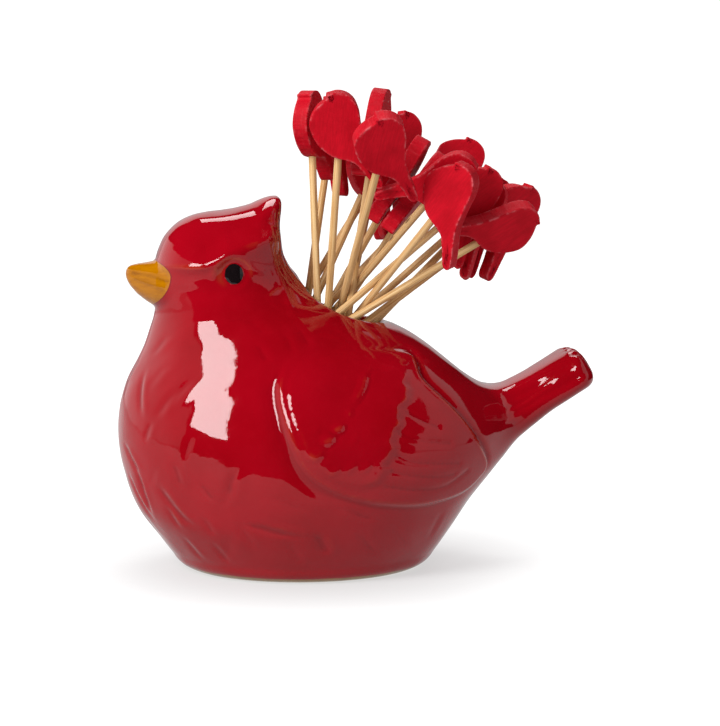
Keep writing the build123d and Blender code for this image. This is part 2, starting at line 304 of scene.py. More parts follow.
def tail_field(x, y, z):
    """A slab that follows the tail's line, fullest below its middle and rolling over into the top."""
    T = TAIL
    best = np.full(x.shape, 1e9)
    W = np.zeros(x.shape)
    Hh = np.zeros(x.shape)
    N = np.zeros(x.shape)
    for i in range(len(T) - 1):
        a, b = T[i], T[i + 1]
        ex, ez = b[0] - a[0], b[1] - a[1]
        L2 = ex * ex + ez * ez
        t = np.clip(((x - a[0]) * ex + (z - a[1]) * ez) / L2, 0, 1)
        px, pz = x - a[0] - t * ex, z - a[1] - t * ez
        dd = px * px + pz * pz
        m = dd < best
        best = np.where(m, dd, best)
        ts = t * t * (3 - 2 * t)
        W = np.where(m, a[2] + (b[2] - a[2]) * ts, W)
        Hh = np.where(m, a[3] + (b[3] - a[3]) * ts, Hh)
        N = np.where(m, np.sign(pz * ex - px * ez) * np.sqrt(dd), N)
    low = 0.26 * Hh
    N = N + low
    half = np.where(N > 0, Hh + low, Hh - low)
    n = 2.7
    q = ((np.abs(y) / W) ** n + (np.abs(N) / half) ** n) ** (1 / n)
    d = (q - 1) * np.minimum(W, Hh) * 0.92
    # the end is cut square to the line, a little rounded in plan
    ang = np.radians(30.0)
    end = (x - 77.4) * np.cos(ang) + (z - 52.4) * np.sin(ang) + 0.012 * y * y
    return smax(d, end, 3.8)


def beak_field(x, y, z):
    T = BEAK[::-1]
    cz = np.interp(x, T[:, 0], T[:, 1])
    w = np.interp(x, T[:, 0], T[:, 2])
    h = np.interp(x, T[:, 0], T[:, 3])
    q = (np.abs(y / w) ** 2.1 + np.abs((z - cz) / h) ** 2.1 + 1e-12) ** (1 / 2.1)
    d = (q - 1) * np.minimum(w, h) * 0.9
    return smax(smax(d, -47.4 - x, 1.5), x + 31.0, 0.5)


CREST_TOP = np.array([(-44.0, 78.0), (-39.3, 85.8), (-37.7, 88.5), (-36.1, 90.4), (-34.5, 91.7), (-32.9, 92.7), (-31.3, 93.4), (-28.1, 94.2),
                      (-25.0, 94.7), (-21.8, 95.0), (-18.6, 95.4), (-15.4, 96.1), (-13.8, 96.6), (-12.2, 97.4), (-10.6, 98.1),
                      (-9.0, 98.6), (-7.4, 98.7), (-6.0, 97.9), (-4.0, 94.0)])


def roof_field(x, y, z):
    """The crown of the head, arched from side to side, with a soft ridge where it meets the sides."""
    top = np.interp(x, CREST_TOP[:, 0], CREST_TOP[:, 1])
    slope = np.interp(x, CREST_TOP[1:, 0] * 0.5 + CREST_TOP[:-1, 0] * 0.5, np.diff(CREST_TOP[:, 1]) / np.diff(CREST_TOP[:, 0]))
    c = np.interp(x, [-36.0, -28.0, -19.0, -12.5, -7.0], [0.020, 0.0245, 0.0255, 0.029, 0.034])
    return (z - (top - c * y * y)) / np.sqrt(1 + slope * slope + (2 * c * y) ** 2)


def hollow_field(x, y, z):
    d = ellipse_field(x, y, z, HOLLOW_D) * 0.85
    d = smax(d, 5.0 - z, 4.0)
    d = smax(d, z - 88.5, 3.0)
    vx, vz = x - MOUTH[0], z - MOUTH[2]
    l = vx * ML[0] + vz * ML[2]
    n = vx * MN[0] + vz * MN[2]
    q = np.sqrt((l / MOUTH_L) ** 2 + (y / MOUTH_W) ** 2)
    m = smax((q - 1) * MOUTH_W * 0.97, -12.5 - n, 2.0)
    return smin(d, m, 1.5)


WING_C = smooth_loop(WING)
COVERT_C = smooth_loop(COVERT)


def side_relief(x, z):
    """How far the wing stands off the flank, seen from the side."""
    P = np.stack([x, z], 1)
    w = polydist(P, WING_C, True)
    c = polydist(P, COVERT_C, True)
    return w, c


def skin_field(x, y, z, side=None):
    """Outer skin without the hollow. side is not used."""
    d = ellipse_field(x, y, z, SKIN_D)
    slope = 0.94
    d = d * slope
    d = smax(d, roof_field(x, y, z), 1.0 + 1.0 * np.exp(-((x + 18.5) / 6.0) ** 2))
    d = smax(d, -z, 1.0)
    d = smin(d, tail_field(x, y, z), 10.0)
    d = smin(d, beak_field(x, y, z), 0.9)
    return d


def mesh_field(F, origin, h):
    """Surface nets: one vertex in each mixed cell, one quad on each crossed edge."""
    S = F < 0
    n0, n1, n2 = F.shape
    cnt = np.zeros((n0 - 1, n1 - 1, n2 - 1), np.uint8)
    for i in (0, 1):
        for j in (0, 1):
            for k in (0, 1):
                cnt += S[i:n0 - 1 + i, j:n1 - 1 + j, k:n2 - 1 + k]
    act = (cnt > 0) & (cnt < 8)
    idx = np.full(act.shape, -1, np.int64)
    cells = np.argwhere(act)
    idx[act] = np.arange(len(cells))
    acc = np.zeros((len(cells), 3))
    num = np.zeros(len(cells))
    C = [(i, j, k) for i in (0, 1) for j in (0, 1) for k in (0, 1)]
    for a in C:
        for ax in range(3):
            if a[ax]:
                continue
            b = list(a)
            b[ax] = 1
            fa = F[cells[:, 0] + a[0], cells[:, 1] + a[1], cells[:, 2] + a[2]]
            fb = F[cells[:, 0] + b[0], cells[:, 1] + b[1], cells[:, 2] + b[2]]
            m = (fa < 0) != (fb < 0)
            t = fa[m] / (fa[m] - fb[m])
            p = np.tile(np.array(a, float), (m.sum(), 1))
            p[:, ax] += t
            acc[m] += p
            num[m] += 1
    V = (cells + acc / num[:, None]) * h + origin
    quads = []
    for ax in range(3):
        o1, o2 = [(1, 2), (2, 0), (0, 1)][ax]
        sl = [slice(None)] * 3
        a = [slice(None)] * 3
        b = [slice(None)] * 3
        a[ax], b[ax] = slice(0, -1), slice(1, None)
        sa, sb = S[tuple(a)], S[tuple(b)]
        cross = sa != sb
        e = np.argwhere(cross)
        ok = (e[:, o1] > 0) & (e[:, o2] > 0) & (e[:, o1] < F.shape[o1] - 1) & (e[:, o2] < F.shape[o2] - 1)
        e = e[ok]
        flip = sa[e[:, 0], e[:, 1], e[:, 2]]
        q = []
        for d1, d2 in ((0, 0), (1, 0), (1, 1), (0, 1)):
            c = e.copy()
            c[:, o1] -= 1 - d1
            c[:, o2] -= 1 - d2
            q.append(idx[c[:, 0], c[:, 1], c[:, 2]])
        q = np.stack(q, 1)
        q = np.where(flip[:, None], q, q[:, ::-1])
        quads.append(q)
    return V, np.concatenate(quads)


# ---------------------------------------------------------------- fine relief
FLIGHT = [smooth_loop(g, 6, False) for g in (
    [(21.6, 44.2), (25.5, 42.1), (29.5, 40.4)],
    [(18.3, 39.7), (22.2, 38.0), (26.3, 37.1), (32.6, 36.2)],
    [(17.8, 34.3), (21.7, 32.6), (26.9, 31.7), (35.3, 31.0)],
    [(16.6, 30.4), (21.7, 29.0), (28.6, 28.0), (34.0, 28.2)],
    [(15.0, 26.6), (22.6, 25.2), (31.2, 25.2), (38.0, 28.6)])]
TIPS = [  # small feather tips on the shoulder: x, z, half length, half width, lean, height
    (12.3, 55.0, 0.9, 0.7, 0.9, 0.30), (9.4, 50.6, 3.6, 1.2, 1.05, 0.42), (5.9, 44.6, 0.9, 0.8, 0.8, 0.32),
    (2.7, 41.2, 1.6, 1.1, 0.35, 0.50), (-0.1, 38.5, 1.7, 1.2, 0.35, 0.50), (-3.2, 35.2, 2.0, 1.4, 0.5, 0.34),
    (1.2, 31.0, 1.8, 1.0, 0.5, 0.22), (5.2, 31.6, 1.9, 1.0, 0.6, 0.24), (9.4, 31.6, 1.6, 1.0, 0.8, 0.22),
    (-3.0, 40.6, 1.2, 0.8, 0.7, 0.14), (6.8, 38.4, 1.6, 0.9, 0.9, 0.14)]
BROW = smooth_loop([(-26.4, 79.2), (-25.6, 81.6), (-23.6, 83.7), (-21.0, 84.6), (-18.4, 83.7), (-15.9, 81.4), (-13.4, 79.9)], 6, False)
LID = smooth_loop([(-25.9, 79.4), (-24.4, 76.9), (-22.0, 75.5), (-19.2, 76.0), (-16.8, 78.4)], 6, False)
HEAD_EDGE = smooth_loop([(-9.2, 92.0), (-11.6, 87.9), (-10.6, 84.0), (-8.8, 79.0), (-7.0, 74.4), (-5.9, 69.8), (-3.0, 66.4)], 6, False)


# carved strokes seen on the near side: angle, height, half length, depth, lean, width; the far side repeats them
STROKES = [
    (-2.888, 48.4, 4.8, 0.80, -0.45, 0.88),
    (-2.670, 46.8, 3.4, 0.55, 0.48, 1.10),
    (-2.932, 31.3, 2.8, 1.00, -1.00, 1.13),
    (-2.859, 22.8, 6.0, 1.00, -0.12, 0.81),
    (-2.953, 20.7, 4.9, 0.90, -0.49, 0.89),
    (-2.618, 20.3, 4.2, 1.00, -0.76, 1.13),
    (-2.644, 17.0, 2.5, 0.60, -0.37, 0.75),
    (-2.541, 28.9, 2.6, 0.80, -0.26, 0.93),
    (-2.194, 27.6, 2.6, 0.80, 0.33, 0.95),
    (-2.350, 25.0, 2.2, 0.60, -0.69, 0.97),
    (-1.959, 15.3, 1.6, 1.00, -2.62, 2.52),
    (-1.599, 11.4, 2.5, 1.10, -0.47, 1.22),
    (-1.820, 22.5, 1.7, 0.40, -1.51, 1.81),
    (-2.382, 15.7, 2.0, 0.50, -0.32, 0.84),
    (-2.129, 13.7, 3.0, 0.50, -0.42, 0.98),
    (-2.107, 59.8, 2.2, 0.50, -0.70, 1.10),
    (-1.370, 19.6, 1.9, 0.60, -1.94, 1.75),
    (-0.987, 11.9, 3.2, 0.40, -1.14, 1.37),
    (-0.659, 13.4, 3.2, 0.40, 0.01, 1.00),
    (-2.470, 36.1, 2.5, 0.50, 0.25, 0.83),
    (-1.795, 8.9, 2.8, 0.40, -0.49, 1.00),
    (-2.759, 38.9, 2.4, 0.50, 0.22, 0.82),
    (-2.370, 8.2, 2.5, 0.50, -0.27, 0.83),
    (-2.614, 8.4, 2.6, 0.50, -0.33, 0.84),
    (-1.253, 10.9, 3.0, 0.50, -0.87, 1.19),
    (-1.727, 63.5, 2.2, 0.50, -0.58, 1.04),
    (-2.202, 65.9, 1.9, 0.40, -1.20, 1.41),
    (-1.884, 62.1, 2.4, 0.40, -0.51, 0.90),
]


def flank_strokes():
    """Carved strokes over chest, belly, cheeks and back: angle, height, half length, depth, lean, bend, width."""
    rng = np.random.default_rng(23)
    out = []
    for th, z, half, deep, lean, wide in STROKES:
        bend = rng.uniform(-0.03, 0.03)
        out.append((th, z, half, deep, lean, bend, wide))
        out.append((-th, z, half, deep, -lean, -bend, wide))
    for i in range(26):  # faint ones in between
        th = np.pi + rng.uniform(-2.2, 2.2)
        side = -np.sign(np.sin(th))
        out.append((th, rng.uniform(9.0, 62.0), rng.uniform(1.8, 3.6), rng.uniform(0.2, 0.4), side * rng.uniform(-0.2, 0.7), rng.uniform(-0.03, 0.03), rng.uniform(0.8, 1.2)))
    return out


def waves(V, seed, n, low, high, amount):
    """Smooth uneven swelling: a sum of plane waves."""
    rng = np.random.default_rng(seed)
    out = np.zeros(len(V))
    for _ in range(n):
        d = rng.normal(size=3)
        d /= np.linalg.norm(d)
        out += np.sin(V @ (d * 2 * np.pi / rng.uniform(low, high)) + rng.uniform(0, 6.28))
    return out * amount / np.sqrt(n / 2)


def body_offset(V, N):
    """Outward offset in mm of each outer point: wings, carved strokes, nape and tail feathers."""
    x, y, z = V.T
    ay = np.abs(y)
    off = np.zeros(len(V))
    flank = step01(ay - 9.0, 5.0) * step01(np.abs(N[:, 1]) - 0.20, 0.16)
    near = (flank > 0) & (x > -22) & (x < 54) & (z > 12) & (z < 68)
    P = np.stack([x, z], 1)[near]
    w = polydist(P, WING_C, True)
    c = polydist(P, COVERT_C, True)
    # the wing stands off with a round edge and fades into the back at its top
    fade = 1 - step01(P[:, 1] - (55.5 + 0.20 * P[:, 0]), 5.5)
    front = step01(2.0 - P[:, 0], 8.0)
    rear = step01(P[:, 0] - 24.0, 5.0) * step01(P[:, 1] - 29.0, 3.0)
    o = (1.00 + 0.35 * front) * step01(-w - 0.15, 0.95) * fade
    # the front edge is a double roll with a shallow valley before it; the rear edge overhangs a narrow gap
    o += front * fade * 0.38 * step01(-w - 3.0, 0.65)
    o -= 0.48 * step01(-1.0 - P[:, 0], 6.0) * np.exp(-((w - 2.0) / 1.8) ** 2) * fade
    o -= 0.75 * rear * np.exp(-((w - 0.9) / 0.75) ** 2) * fade
    o += 0.30 * rear * np.exp(-((w + 0.5) / 0.6) ** 2) * fade
    # the coverts end in a soft uneven step
    uneven = 0.55 * np.sin(P[:, 1] * 2 * np.pi / 6.3 + 0.6) + 0.30 * np.sin(P[:, 1] * 2 * np.pi / 2.7 + 2.0)
    c2 = c + uneven * step01(P[:, 0] - 10.0, 3.0)
    upper = 1 - step01(P[:, 1] - (49.0 + 0.20 * P[:, 0]), 5.0)
    o += 0.62 * step01(-c2, 1.5) * upper
    o += 0.14 * np.exp(-((c2 + 1.1) / 0.55) ** 2) * step01(P[:, 0] - 11.0, 3.0) * upper
    inside = step01(-w - 1.5, 1.2) * step01(c - 0.6, 1.2)
    cuts = np.full(len(P), 1e9)
    for g in FLIGHT:
        d = polydist(P, g, False)
        cuts = np.minimum(cuts, d)
    o -= (0.26 * np.exp(-(cuts / 0.62) ** 2) + 0.03 * np.exp(-(cuts / 2.0) ** 2)) * inside
    for fx, fz, hl, hw, lean, tall in TIPS:
        ca, sa = np.cos(lean), np.sin(lean)
        u = ((P[:, 0] - fx) * ca + (P[:, 1] - fz) * sa) / hl
        v = (-(P[:, 0] - fx) * sa + (P[:, 1] - fz) * ca) / hw
        q = u * u + v * v
        o += tall * np.exp(-q * q * 0.8) * (0.75 - 0.45 * np.tanh(v)) * fade
        o -= 0.35 * tall * np.exp(-((np.sqrt(q) - 1.4) / 0.32) ** 2) * step01(-v - 0.2, 0.5) * fade
    off[near] += o * flank[near]
    covered = np.zeros(len(V))
    covered[near] = step01(2.6 - w, 1.6) * flank[near] * fade
    # carved strokes
    th = np.arctan2(y, x)
    rad = np.hypot(x, y)
    out = (z > 3) & (z < 69) & (np.hypot(x - MOUTH[0], y) > 13.0) & (x < 44)
    wild = (1 - covered) * step01(z - 4.0, 1.5)
    for t0, z0, half, deep, lean, bend, wide in flank_strokes():
        ids = np.flatnonzero(out & (np.abs(z - z0) < half + 1.5))
        dt = (th[ids] - t0 + np.pi) % (2 * np.pi) - np.pi
        u = dt * rad[ids]
        k = np.abs(u) < 9.0
        ids, u = ids[k], u[k]
        v = z[ids] - z0
        d = (u - lean * v - bend * v * v) / (1.3 * wide)
        a = np.exp(-(v / half) ** 4) * deep * wild[ids]
        off[ids] += a * (-0.46 * np.exp(-d * d) + 0.22 * np.exp(-((d - 1.7) / 1.1) ** 2))
    # locks of feathers down the nape, behind the head's edge
    nape = step01(N[:, 0] - 0.50, 0.25) * step01(z - 66.0, 3.0) * (1 - step01(z - 95.0, 1.6)) * step01(6.0 - x, 4.0)
    for k, yy in enumerate((3.2, 7.0, 10.6)):
        bend = 0.5 * np.sin((z - 66.0) * 0.16 + k)
        off -= 0.15 * nape * np.exp(-((ay - yy - bend - 0.045 * (88.0 - z)) / 0.62) ** 2)
    off += 0.16 * nape
    sel = (z > 64) & (z < 96) & (x > -16) & (x < 0) & (ay > 3.5)
    d = polydist(np.stack([x, z], 1)[sel], HEAD_EDGE, False)
    off[sel] += 0.22 * np.exp(-(d / 0.8) ** 2) * step01(ay[sel] - 4.5, 1.2) * (1 - 0.6 * step01(68.0 - z[sel], 4.0))
    # two long feather ledges along each side of the tail, and short notches over its end
    along = (x - 66.0) * np.cos(np.radians(31.0)) + (z - 46.4) * np.sin(np.radians(31.0))
    across = -(x - 66.0) * np.sin(np.radians(31.0)) + (z - 46.4) * np.cos(np.radians(31.0))
    sides = step01(np.abs(N[:, 1]) - 0.35, 0.25) * step01(x - 44.0, 4.0)
    drift = 0.12 * np.sin(along * 0.55)
    ramp1 = np.clip(0.5 + 0.5 * (across + 0.45 + drift + 0.06 * along) / 0.45, 0, 1)
    ramp2 = np.clip(0.5 + 0.5 * (across - 2.1 + drift) / 0.45, 0, 1)
    l1 = ramp1 * step01(along + 13.0, 8.0) * (1 - step01(along - 9.0, 2.5))
    l2 = ramp2 * step01(along + 12.0, 7.0) * (1 - step01(along + 0.5, 3.0))
    off -= sides * (1.10 * l1 + 0.88 * l2)
    end = step01(along - 9.4, 1.8) * step01(N[:, 2] + N[:, 0] - 0.35, 0.3)
    for yy, deep in ((-6.2, 0.8), (-2.6, 1.0), (1.2, 0.9), (4.8, 1.0)):
        off -= 0.95 * deep * end * np.exp(-((y - yy) / 0.75) ** 2)
    return off


def face_offset(V, N):
    x, y, z = V.T
    ay = np.abs(y)
    off = np.zeros(len(V))
    sel = (ay > 5.0) & (z > 68) & (z < 92) & (x < -6) & (x > -36)
    P = np.stack([x, z], 1)[sel]
    u, v = P[:, 0] + 21.2, P[:, 1] - 79.3
    almond = np.sqrt((u / 4.4) ** 2 + (v / 3.9) ** 2 + 0.06 * np.abs(u * v) / 4)
    o = -0.50 * (1 - step01(almond - 0.88, 0.26))
    pu, pv = (P[:, 0] + 20.85) / 2.75, (P[:, 1] - 79.5) / 3.05
    o += 0.80 * np.sqrt(np.clip(1 - pu * pu - pv * pv, 0, 1))
    o += 0.26 * np.exp(-(polydist(P, BROW, False) / 0.9) ** 2)
    o += 0.14 * np.exp(-(polydist(P, LID, False) / 0.9) ** 2)
    # the cheek swells a little behind and under the eye
    o += 0.25 * np.exp(-(((P[:, 0] + 20.0) / 9.0) ** 2 + ((P[:, 1] - 72.0) / 4.0) ** 2))
    off[sel] = o * step01(ay[sel] - 8.0, 2.0)
    return off


def holder_field(x, y, z):
    return smax(skin_field(x, y, z), -hollow_field(x, y, z), 2.6)


def holder_mesh(h):
    """Points, quads, outward normals and paint values of the whole ceramic bird."""
    lo, hi = np.array([-51.4, -41.4, -1.2]), np.array([79.8, 41.4, 101.4])
    ax = [np.arange(lo[k], hi[k] + h, h) for k in range(3)]
    F = np.empty([len(a) for a in ax], np.float32)
    for i in range(0, len(ax[0]), 24):
        X, Y, Z = np.meshgrid(ax[0][i:i + 24], ax[1], ax[2], indexing="ij")
        F[i:i + 24] = holder_field(X, Y, Z)
    V, Q = mesh_field(F, lo, h)
    E = np.unique(np.sort(np.concatenate([Q[:, [0, 1]], Q[:, [1, 2]], Q[:, [2, 3]], Q[:, [3, 0]]]), 1), axis=0)
    count = np.bincount(E.ravel(), minlength=len(V)).astype(float)

    def mean(A):
        out = np.empty_like(A)
        for k in range(A.shape[1]):
            out[:, k] = (np.bincount(E[:, 0], A[E[:, 1], k], len(V)) + np.bincount(E[:, 1], A[E[:, 0], k], len(V))) / count
        return out

    def grad(P, e=0.15):
        G = np.empty_like(P)
        for k in range(3):
            a, b = P.copy(), P.copy()
            a[:, k] -= e
            b[:, k] += e
            G[:, k] = (holder_field(*b.T) - holder_field(*a.T)) / (2 * e)
        return G

    for step in range(4):
        if step < 3:
            V = V + 0.6 * (mean(V) - V)
        G = grad(V)
        g2 = np.maximum((G * G).sum(1), 0.05)
        f = holder_field(*V.T)
        V = V - (np.clip(f / g2, -0.5, 0.5))[:, None] * G
    V[:, 2] = np.maximum(V[:, 2], 0.0)

    def normals(P):
        d1, d2 = P[Q[:, 2]] - P[Q[:, 0]], P[Q[:, 3]] - P[Q[:, 1]]
        fn = np.cross(d1, d2)
        out = np.zeros_like(P)
        for k in range(4):
            for a in range(3):
                out[:, a] += np.bincount(Q[:, k], fn[:, a], len(P))
        return out / np.maximum(np.linalg.norm(out, axis=1, keepdims=True), 1e-12)

    N = normals(V)
    outer = step01(hollow_field(*V.T) - 1.9, 1.1)
    foot = step01(V[:, 2] - 1.6, 1.0)
    off = body_offset(V, N) * foot + face_offset(V, N)
    off += waves(V, 5, 26, 8.0, 18.0, 0.040) + waves(V, 6, 26, 3.2, 6.5, 0.007)
    off *= outer * np.maximum(foot, step01(V[:, 2] - 0.8, 0.4))
    off += (1 - outer) * waves(V, 7, 16, 6.0, 14.0, 0.05) * step01(V[:, 2] - 3.0, 1.0)
    P = V + off[:, None] * N
    for _ in range(1):
        P = P + 0.25 * (mean(P) - P) * foot[:, None]
    P[:, 2] = np.maximum(P[:, 2], 0.0)
    N = normals(P)
    L = mean(P) - P
    l2 = np.zeros(len(P))
    d = ((P[E[:, 0]] - P[E[:, 1]]) ** 2).sum(1)
    l2 = (np.bincount(E[:, 0], d, len(P)) + np.bincount(E[:, 1], d, len(P))) / count
    bendy = -(L * N).sum(1) / (0.25 * l2)
    bendy = np.clip(bendy, -1.5, 1.5)[:, None]
    for _ in range(3):
        bendy = 0.4 * bendy + 0.6 * mean(bendy)
    return P, Q, N, outer, bendy[:, 0], V


def paint_values(P, V, outer):
    """Signed distances in mm for the painted beak and eyes, and where the glaze runs thin on purpose."""
    x, y, z = V.T
    ay = np.abs(y)
    edge = -36.6 - np.where(z > 78.3, 0.21, 0.067) * (z - 78.3) ** 2
    beak = np.minimum(edge - x, 3.0)
    beak = np.where((z > 66) & (z < 88) & (outer > 0.5), beak, -3.0)
    pu, pv = x + 20.85, z - 79.5
    q = np.sqrt((pu / 2.45) ** 2 + (pv / 2.7) ** 2)
    eye = np.where((ay > 6) & (outer > 0.5), np.clip((1 - q) * 2.5, -3, 3), -3.0)
    u, v = x + 21.2, z - 79.3
    almond = np.sqrt((u / 4.4) ** 2 + (v / 3.9) ** 2)
    ang = np.arctan2(v, u)
    # a rosy corner before the pupil and a thin line along the upper lid
    ring = 0.55 * np.exp(-((almond - 0.80) / 0.16) ** 2) * np.clip(-np.cos(ang + 0.25), 0, 1) ** 2
    lid = np.exp(-((almond - 1.10) / 0.085) ** 2) * step01(v - 0.2, 1.6)
    ring = np.where((ay > 6) & (outer > 0.5), np.maximum(ring, 0.55 * lid), 0.0)
    s1 = polydist(np.stack([x, z], 1), [(-45.6, 78.9), (-42.0, 78.3), (-37.4, 77.3)], False)
    s2 = polydist(np.stack([x, z], 1), [(-45.2, 77.2), (-42.0, 76.2), (-38.4, 74.9)], False)
    streak = np.exp(-(s1 / 0.45) ** 2) + 0.8 * np.exp(-(s2 / 0.45) ** 2)
    streak = np.where(x < -36, np.clip(streak, 0, 1), 0.0)
    return beak, eye, ring, streak


# ---------------------------------------------------------------- picks
STICK_RADIUS, STICK_LENGTH, POINT_LENGTH, SOCKET = 1.0, 104.0, 7.0, 7.9
THICK, EDGE = 4.2, 0.30
# outline of a topper: across to its belly side, and up the stick
TOPPER = [(3.81, 16.19), (3.3, 16.95), (1.92, 17.45), (0.27, 17.49), (-1.45, 17.0), (-2.92, 15.81),
          (-3.92, 14.27), (-4.74, 11.94), (-5.29, 9.1), (-6.0, 6.04), (-6.73, 3.65), (-7.88, 1.25),
          (-9.52, -1.45), (-10.92, -3.67), (-11.91, -5.54), (-11.79, -6.93), (-10.62, -7.14), (-9.47, -6.36),
          (-8.02, -4.5), (-6.23, -2.57), (-4.69, -1.1), (-2.99, -0.4), (-0.59, 0.0), (1.61, 0.55),
          (3.62, 1.8), (5.58, 3.6), (6.78, 5.3), (7.74, 7.31), (8.07, 9.02), (7.6, 10.99), (6.33, 13.23),
          (4.88, 14.81)]
# for each pick the point where its stick enters, the way up the stick, and the belly's side
PICKS = [
    ((1.193, -7.112, 108.968), (-0.03959, -0.04307, 0.99829), (-0.51191, -0.85713, -0.05729)),
    ((6.594, -16.028, 109.262), (0.02843, -0.23393, 0.97184), (-0.98494, 0.15931, 0.06716)),
    ((7.825, 8.999, 107.235), (0.17681, 0.19594, 0.96454), (-0.54222, -0.79848, 0.26160)),
    ((14.600, -27.596, 106.267), (0.12144, -0.54162, 0.83180), (-0.99258, -0.06146, 0.10489)),
    ((16.888, 7.764, 97.706), (0.43764, 0.13862, 0.88840), (-0.87397, -0.16663, 0.45653)),
    ((18.061, -1.903, 109.629), (0.16432, 0.10203, 0.98112), (0.37868, 0.91190, -0.15825)),
    ((21.312, 19.291, 96.528), (0.25962, 0.42138, 0.86893), (-0.53842, -0.68379, 0.49247)),
    ((23.665, 14.221, 104.564), (0.55483, 0.23308, 0.79865), (-0.78226, -0.18067, 0.59617)),
    ((23.987, 1.685, 98.298), (0.46901, -0.16020, 0.86854), (0.33703, 0.94146, -0.00834)),
    ((28.133, 0.594, 94.507), (0.54437, -0.09839, 0.83305), (0.33191, 0.93732, -0.10618)),
    ((29.921, -14.932, 96.982), (0.55168, -0.38018, 0.74237), (0.76331, -0.12860, -0.63310)),
    ((30.393, -22.236, 93.439), (0.48448, -0.46263, 0.74246), (-0.64203, 0.38845, 0.66099)),
    ((37.304, -9.602, 92.802), (0.76415, -0.02604, 0.64451), (-0.64187, -0.12968, 0.75577)),
    ((40.901, -0.743, 89.037), (0.72714, -0.15540, 0.66867), (-0.57607, 0.39164, 0.71746)),
    ((42.039, 22.427, 99.539), (0.68711, 0.44013, 0.57808), (-0.72211, 0.32585, 0.61022)),
    ((43.928, -14.352, 86.550), (0.84106, -0.14516, 0.52110), (0.51608, 0.50403, -0.69255)),
    ((44.608, 5.275, 88.717), (0.71603, 0.21378, 0.66453), (-0.56052, -0.39131, 0.72986)),
    ((50.734, 2.863, 88.403), (0.81417, 0.23823, 0.52951), (-0.44245, -0.33598, 0.83147)),
]


def frame_of(pick):
    entry, up, belly = (np.array(v, float) for v in pick)
    up /= np.linalg.norm(up)
    belly -= up * (belly @ up)
    belly /= np.linalg.norm(belly)
    return entry, belly, up, np.cross(belly, up)


def outline(n=216):
    """The cut-out's outline as n evenly spaced points with outward normals, counter-clockwise."""
    # a small beak where the crown meets the breast
    P = np.array([(4.3, 16.42), (3.85, 16.86)] + TOPPER[1:] + [(4.2, 15.45), (4.02, 15.95)])
    P = smooth_loop(P, 24)
    area = np.sum(P[:, 0] * np.roll(P[:, 1], -1) - np.roll(P[:, 0], -1) * P[:, 1])
    if area < 0:
        P = P[::-1]
    C = np.vstack([P, P[:1]])
    s = np.concatenate([[0], np.cumsum(np.hypot(*np.diff(C, axis=0).T))])
    t = np.linspace(0, s[-1], n, endpoint=False)
    P = np.stack([np.interp(t, s, C[:, k]) for k in (0, 1)], 1)
    T = np.roll(P, -1, 0) - np.roll(P, 1, 0)
    T /= np.linalg.norm(T, axis=1, keepdims=True)
    return P, np.stack([T[:, 1], -T[:, 0]], 1)


def topper(name, pick, seed):
    rng = np.random.default_rng(seed)
    entry, belly, up, across = frame_of(pick)
    P, N = outline()
    n = len(P)
    half = THICK / 2 - 0.03
    # rings from the middle of one face over the cut edge to the other: inset, height, edge share, rubbed share
    rings = [(1.9, half, 0.0, 0.0), (1.0, half, 0.0, 0.0), (EDGE + 0.22, half, 0.0, 0.05), (EDGE + 0.08, half, 0.0, 0.45)]
    for a in (90, 60, 30, 0):
        r = math.radians(a)
        rings.append((EDGE * (1 - math.cos(r)), half - EDGE * (1 - math.sin(r)), 1 - a / 90, 1.0 if a in (30, 60) else 0.5))
    for f in (0.72, 0.42, 0.14, -0.14, -0.42, -0.72):
        rings.append((0.0, (half - EDGE) * f, 1.0, 0.04))
    for a in (0, 30, 60, 90):
        r = math.radians(a)
        rings.append((EDGE * (1 - math.cos(r)), -half + EDGE * (1 - math.sin(r)), 1 - a / 90, 1.0 if a in (30, 60) else 0.5))
    rings += [(EDGE + 0.08, -half, 0.0, 0.45), (EDGE + 0.22, -half, 0.0, 0.05), (1.0, -half, 0.0, 0.0), (1.9, -half, 0.0, 0.0)]
    # a cut edge is never quite even: low ripple along it and a slight slant through the board
    t = np.arange(n) * 2 * np.pi / n
    ripple = sum(rng.uniform(0.3, 1.0) * np.sin(k * t + rng.uniform(0, 6.28)) for k in (7, 11, 17, 23)) * 0.018
    slant = rng.uniform(-0.05, 0.05)
    lump = rng.uniform(0, 6.28, 4)
    verts, side, rub = [], [], []
    for inset, height, s, w in rings:
        nick = 0.012 * rng.standard_normal(n) * s
        ring = P - N * (inset + 0.05 - ripple * s - nick - 0.03)[:, None] + N * (slant * height / half * s)
        bow = 0.035 * np.sin(ring[:, 0] * 0.25 + lump[0]) * np.cos(ring[:, 1] * 0.21 + lump[1])
        verts.append(np.column_stack([ring, height + bow]))
        side += [s] * n
        rub += [w] * n
    V = np.concatenate(verts)
    faces = []
    for r in range(len(rings) - 1):
        for i in range(n):
            j = (i + 1) % n
            faces.append((r * n + i, r * n + j, (r + 1) * n + j, (r + 1) * n + i)[::-1])
    for r, flip in ((0, False), (len(rings) - 1, True)):
        ids = list(range(r * n, (r + 1) * n))
        tris = tessellate_polygon([[Vector((V[i][0], V[i][1], 0)) for i in ids]])
        for a, b, c in tris:
            f = (ids[a], ids[b], ids[c])
            e1, e2 = V[f[1]][:2] - V[f[0]][:2], V[f[2]][:2] - V[f[0]][:2]
            ccw = e1[0] * e2[1] - e1[1] * e2[0] > 0
            faces.append(f if ccw != flip else f[::-1])
    # the sides' winding: the outline turns left seen from +across
    W = entry + V[:, :1] * belly + V[:, 1:2] * up + V[:, 2:] * across
    tone = rng.uniform(0, 1)
    ob = mesh_object(name, W, faces, {"side": side, "rub": rub, "tone": np.full(len(W), tone)}, {"loc": V * MM}, sharp=50)
    return ob


